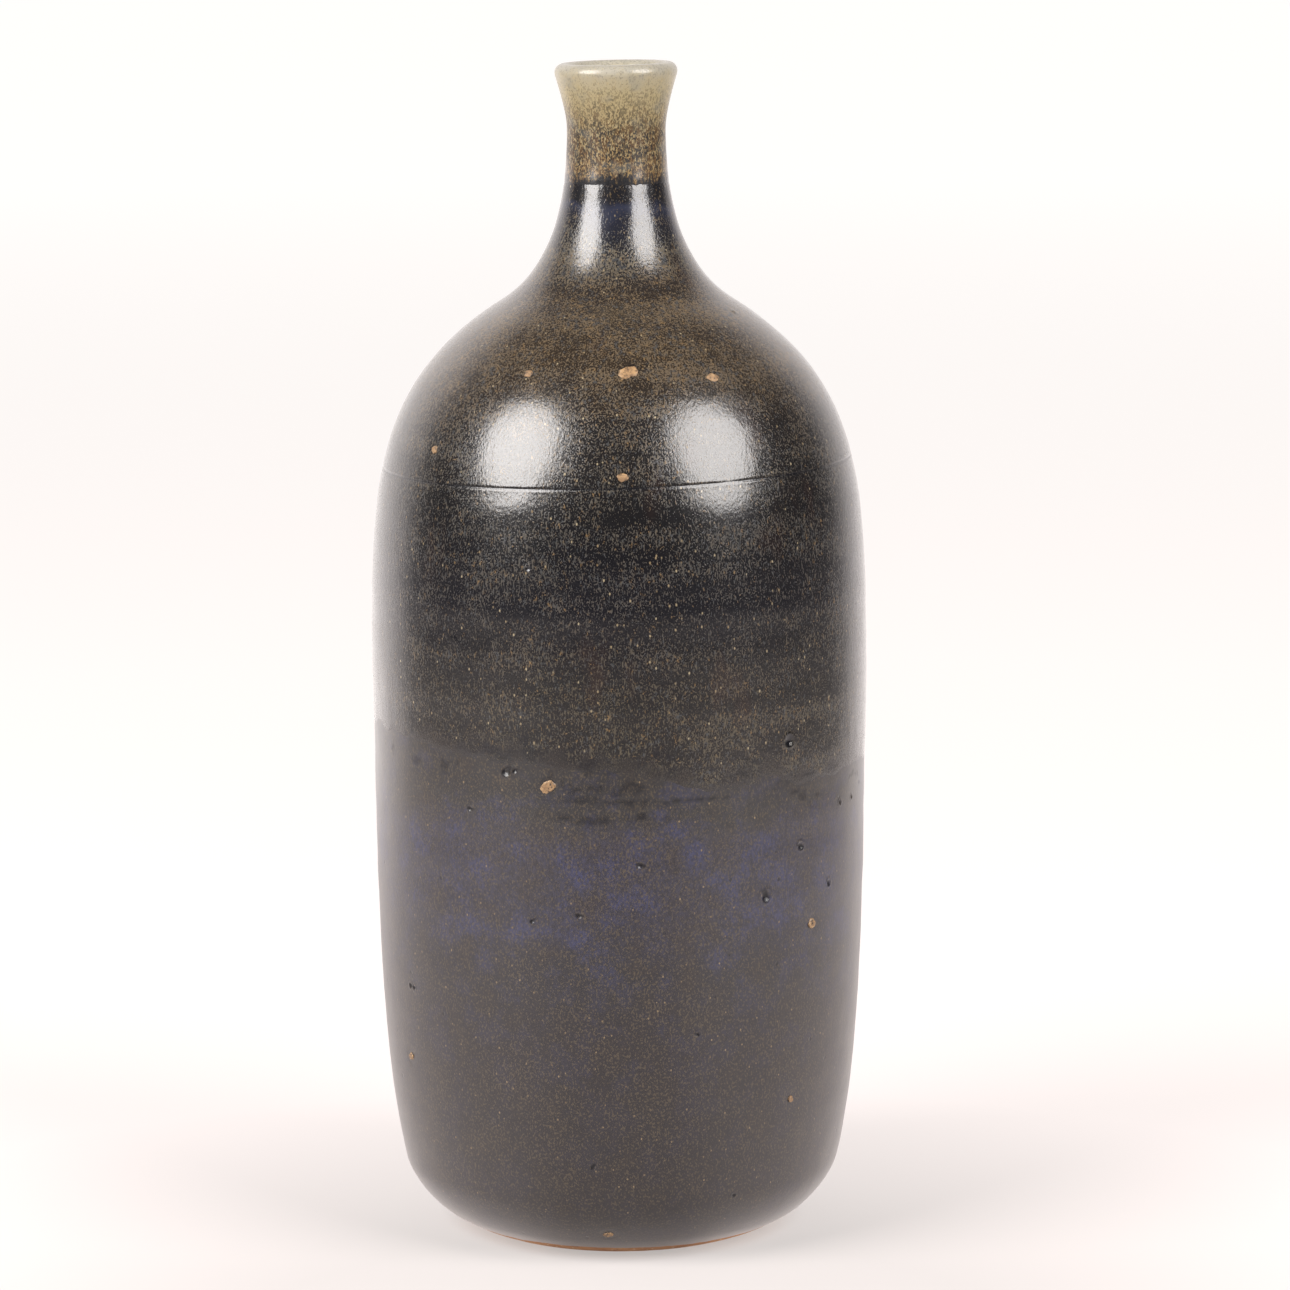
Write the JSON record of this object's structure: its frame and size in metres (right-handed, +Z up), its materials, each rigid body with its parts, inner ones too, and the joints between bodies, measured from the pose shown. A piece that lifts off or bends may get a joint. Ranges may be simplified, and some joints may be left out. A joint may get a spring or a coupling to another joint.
{
  "type": "bottle vase",
  "caption": "Stoneware bottle vase: tall round belly, domed shoulder, narrow neck with a rolled lip, foot ring, speckled overglaze over a dark base glaze.",
  "frame": {"origin": "centre of the foot, on the surface that the vase stands on", "axes": "+Z up along the vase's axis, from the foot to the lip; -Y towards the side taken as the front"},
  "size_m": [0.1272, 0.1272, 0.3],
  "materials": {
    "clay": "matte",
    "joint_slip": "matte",
    "blue_glaze": "satin",
    "speckled_glaze": "gloss",
    "pale_glaze": "gloss",
    "liner": "gloss",
    "grog": "matte"
  },
  "bodies": {
    "root": {"lower_body": "clay", "body_slip": "joint_slip", "shoulder": "clay", "neck_slip": "joint_slip", "neck": "clay", "base_glaze": "blue_glaze", "overglaze": "speckled_glaze", "neck_glaze": "pale_glaze", "liner_glaze": "liner", "grog_grains": "grog"}
  },
  "joints": []
}
